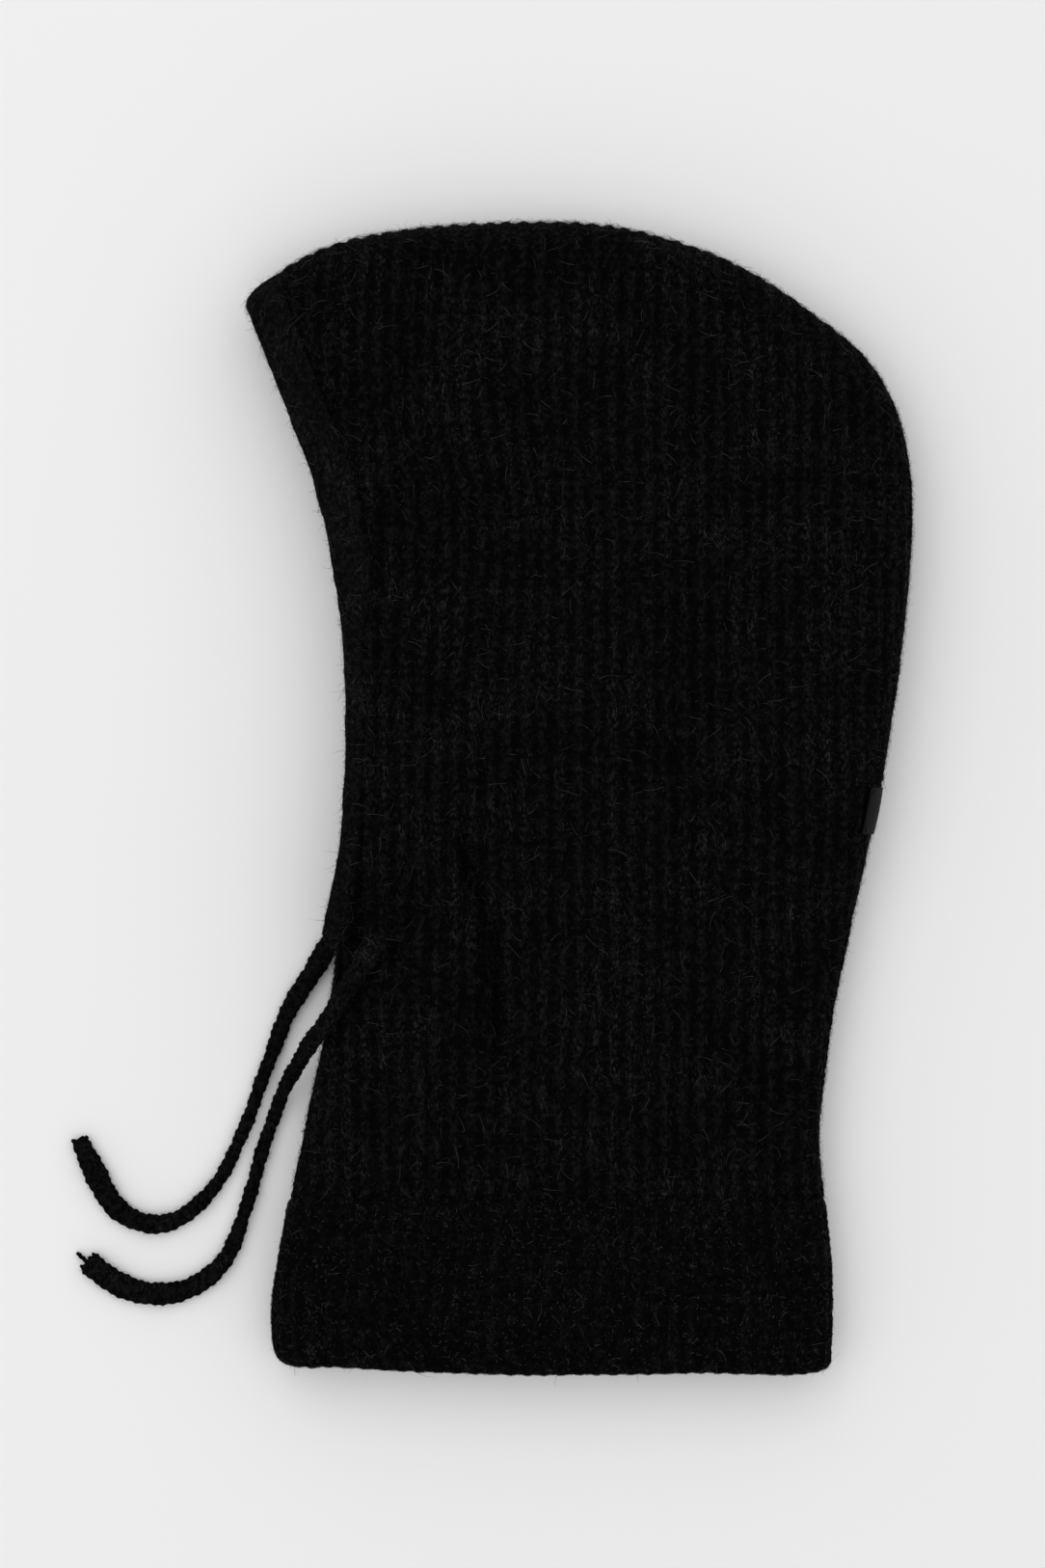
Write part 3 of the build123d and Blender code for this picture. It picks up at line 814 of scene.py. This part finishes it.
def section(u, y, inset, swell=0.0):
    """A point round the neck's closed section: near side, back rim, far side, front rim."""
    left = np.interp(y, NECK_FRONT[:, 1], NECK_FRONT[:, 0]) + inset - swell
    back = CROWN_BACK[::-1]
    right = np.interp(y, back[:, 1], back[:, 0]) - inset + swell
    top = NECK_TOP - SEAM_Z - inset + swell
    low = SEAM_Z - FAR_BASE - inset + 0.3 * swell
    rim = RIM - inset
    parts = np.cumsum([0, 172, 20.5, 19.5, 172, 19.5, 20.5]) / 424.0
    share = lambda k: np.clip((u - parts[k]) / (parts[k + 1] - parts[k]), 0, 1)
    x = left + rim + (right - left - 2 * rim) * (share(0) - share(3))
    x = x + rim * (np.sin(share(1) * pi / 2) - 1 + np.cos(share(2) * pi / 2))
    x = x - rim * (np.sin(share(4) * pi / 2) - 1 + np.cos(share(5) * pi / 2))
    z = np.where(u < parts[1], top, 0)
    z = np.where((u >= parts[1]) & (u < parts[2]), top * np.cos(share(1) * pi / 2), z)
    z = np.where((u >= parts[2]) & (u < parts[3]), -low * np.sin(share(2) * pi / 2), z)
    z = np.where((u >= parts[3]) & (u < parts[4]), -low, z)
    z = np.where((u >= parts[4]) & (u < parts[5]), -low * np.cos(share(4) * pi / 2), z)
    z = np.where(u >= parts[5], top * np.sin(share(5) * pi / 2), z)
    return np.stack([x, y + 0 * u, SEAM_Z + z], axis=-1)


def cuff():
    """The deep cuff: outside, turned at the hem, and back up inside."""
    half = 3.1
    outer = CUFF_Y + 0.6 - (HEM_Y + half)
    fold = pi * half
    rows = np.concatenate([np.arange(0, outer, 1.0), outer + np.linspace(0, fold, 11),
                           outer + fold + np.arange(1.5, outer, 2.6)])

    def place(u, v):
        turn = np.clip((v - outer) / half, 0, pi)
        back = np.maximum(v - outer - fold, 0)
        y = CUFF_Y + 0.6 - np.minimum(v, outer) - half * np.sin(turn) + back
        y = y + 0.7 * ripple(u * 424, 0 * v, 34, 8) * ease(20, outer, v) * (back == 0)
        middle = section(u, y, 0 * u, 0 * u)[..., 0]
        lift = 3.0 * (1 - ease(-112, 12, middle)) + 0.9 * ease(20, 92, middle)
        y = y + lift * ease(0.25 * outer, outer, v) * (1 - ease(outer + fold, 1.6 * outer, v))
        inset = half * (1 - np.cos(turn))
        swell = 0.7 * ease(0, 3, v) * (1 - ease(outer + fold, outer + fold + 3, v))
        return section(u, y, inset, 0 * u) + swell_out(u, y, swell)

    def swell_out(u, y, swell):
        wide, slim = section(u, y, 0 * u, swell), section(u, y, 0 * u, 0 * u)
        return wide - slim

    def relief(u, v):
        rise = ease(0, 2.5, v)
        hem = 1 - 0.6 * np.exp(-((v - outer - fold / 2) / 6) ** 2)
        closing = ease(0, 0.01, u) * ease(0, 0.01, 1 - u)
        return rib(*cloth(u, v), 0.6, 0.32) * (0.35 + 0.65 * rise) * hem * closing

    def cloth(u, v):
        lap = u * RIB * 66
        return lap + 0.4 * ripple(lap, v, 10, 91), v + 0.5 * ripple(lap, v, 14, 92)

    tube, on, out = worked("neck_cuff_knit", np.linspace(0, 1, 661), rows, place, relief,
                           wrap=True, cloth=cloth)
    finish_piece(tube, "hood", CUFF_WOOL, "cuff_knit", "neck_cuff")
    return on, out


def seams():
    """Linking stitches: crown and back, front of the neck, casing, cuff and throat."""
    level = lambda line, z: np.column_stack([line, np.full(len(line), z)])
    inset = lambda line, gap: line + gap * sideways(line)
    crown = CROWN_BACK[(CROWN_BACK[:, 1] > CUFF_Y + 1) & (np.arange(len(CROWN_BACK)) > 24)]
    crown = crown[(crown[:, 0] > -106) | (crown[:, 1] < 150)]
    piece, on, out = chain("crown_seam", level(inset(crown, 1.5), SEAM_Z), 1.15)
    finish_piece(piece, "hood", LINK_WOOL, "linking_yarn", "crown_back_seam")
    front = NECK_FRONT[(NECK_FRONT[:, 1] > CUFF_Y + 1) & (NECK_FRONT[:, 1] < -48)]
    piece, _, _ = chain("neck_seam", level(inset(front, 1.5), SEAM_Z), 1.15)
    finish_piece(piece, "hood", LINK_WOOL, "linking_yarn", "front_neck_seam")
    run = np.linspace(3, lengths(FACE)[-1] - 17, 300)
    edge = at(FACE, run)
    line = edge + sideways(edge) * (band_reach(edge[:, 1]) - 0.2)[:, None]
    upper = top_level(line[:, 0], line[:, 1]) - 0.9
    near, _, _ = chain("casing_seam", np.column_stack([line, upper]), 0.95)
    far, _, _ = chain("casing_seam_far", level(line, FAR_BASE + 0.7), 0.95)
    finish_piece(join(near, [far]), "hood", LINK_WOOL, "linking_yarn", "face_band_seam")
    around = np.linspace(0, 1, 700)
    ring = section(around, np.full(700, CUFF_Y + 0.9), 0.45, 0.0)
    piece, _, _ = chain("cuff_link", ring, 0.95, up=(0, 1, 0))
    finish_piece(piece, "hood", LINK_WOOL, "linking_yarn", "cuff_seam")
    tacks = [chain(f"tack_{k}", [(-84.6 + 1.6 * k, -53.3, 4.5), (-84.9 + 1.6 * k, -53.6, 15),
                                 (-84.6 + 1.6 * k, -53.3, 25.5)], 0.8, up=(0, 1, 0))[0]
             for k in range(4)]
    finish_piece(join(tacks[0], tacks[1:]), "hood", LINK_WOOL, "linking_yarn", "chin_stitches")
    return on, out


def sideways(line):
    """Unit ways to the right of a line."""
    way = unit(np.gradient(line, axis=0))
    return np.stack([way[:, 1], -way[:, 0]], axis=-1)


def label():
    """The small blank label folded over the back edge, and its corner stitches."""
    back = CROWN_BACK[::-1]

    def edge_place(y, turn, lift):
        x = np.interp(y, back[:, 1], back[:, 0])
        rise = np.where(turn > 0, 18.2, SEAM_Z - FAR_BASE)
        flat = x - RIM * (1 - np.cos(turn)) + lift * np.cos(turn)
        return np.stack([flat, y, SEAM_Z + (rise + lift) * np.sin(turn)], axis=-1)

    sheet_place = lambda u, v: edge_place(v, u, 1.25 + 0.25 * np.sin((v + 13.5) / 17 * pi))
    flatness = lambda u, v: 0.04 * np.sin(v * 2.2)
    turns = np.linspace(-0.30, 0.86, 30)
    rows = np.linspace(-13.5, 3.5, 36)
    face, _, _ = worked("label_face", turns, rows, sheet_place, flatness, reverse=True)
    under = lambda u, v: edge_place(v, u, 0.6 + 0 * u)
    reverse_side, _, _ = worked("label_under", turns, rows, under, flatness)
    patch = join(face, [reverse_side])
    rim = bmesh.new()
    rim.from_mesh(patch.data)
    edges = [edge for edge in rim.edges if edge.is_boundary]
    bmesh.ops.bridge_loops(rim, edges=edges)
    bmesh.ops.recalc_face_normals(rim, faces=rim.faces)
    rim.to_mesh(patch.data)
    rim.free()
    patch.name = "blank_label"
    finish_piece(patch, "hood", LABEL_SATIN, "label_cloth", "back_label")
    ties = []
    for k, (y, turn) in enumerate(((-11.8, -0.2), (-11.8, 0.74), (1.8, -0.2), (1.8, 0.74))):
        arc = np.linspace(-1, 1, 9)
        path = edge_place(y + 1.3 * arc, turn + 0 * arc, 1.75 - 1.4 * arc ** 2)
        ties.append(strand(f"tie_{k}", path, 0.3, 0.3, 7, up=(1, 0, 0))[0])
    finish_piece(join(ties[0], ties[1:]), "hood", THREAD, "sewing_thread", "label_stitches")


def fuzz(sets):
    """Short fuzz all over, denser along the outline, with stray fibres and a fine nap in a paler
    wool that paints the highlights of fibres catching the light.
    """
    for name, (on, out), count, seed, rim in sets:
        short = hairs(name + "_fuzz", on, out, count, 0.8, 4.6, 0.14, seed, 0.6, rim)
        finish_piece(short, "hood", LOOSE_WOOL, "rib_knit")
        # Stray fibres and nap wear the paler fibre wool: painted highlights of fibres catching the
        # light.
        stray = hairs(name + "_stray", on, out, count // 6, 2.0, 11.0, 0.13, seed + 1, 0.28,
                      rim / 3)
        finish_piece(stray, "hood", GLINT_FIBRE_WOOL, "rib_knit")
        nap = hairs(name + "_nap", on, out, count // 2, 0.5, 2.4, 0.13, seed + 2, 0.2)
        finish_piece(nap, "hood", GLINT_FIBRE_WOOL, "rib_knit")


studio()
drawcord()
panels = side_panels()
band_on, band_out = casing()
cuff_on, cuff_out = cuff()
seams()
label()
fuzz([
    ("near_side", panels["near"][1:], 21000, 21, 6.0),
    ("far_side", panels["far"][1:], 8000, 23, 6.0),
    ("casing", (band_on, band_out), 8000, 25, 0.8),
    ("cuff", (cuff_on, cuff_out), 9000, 27, 9.0),
])

shown_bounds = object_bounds()
({"solid": [list(corner) for corner in solid_bounds],
           "shown": [list(corner) for corner in shown_bounds]})
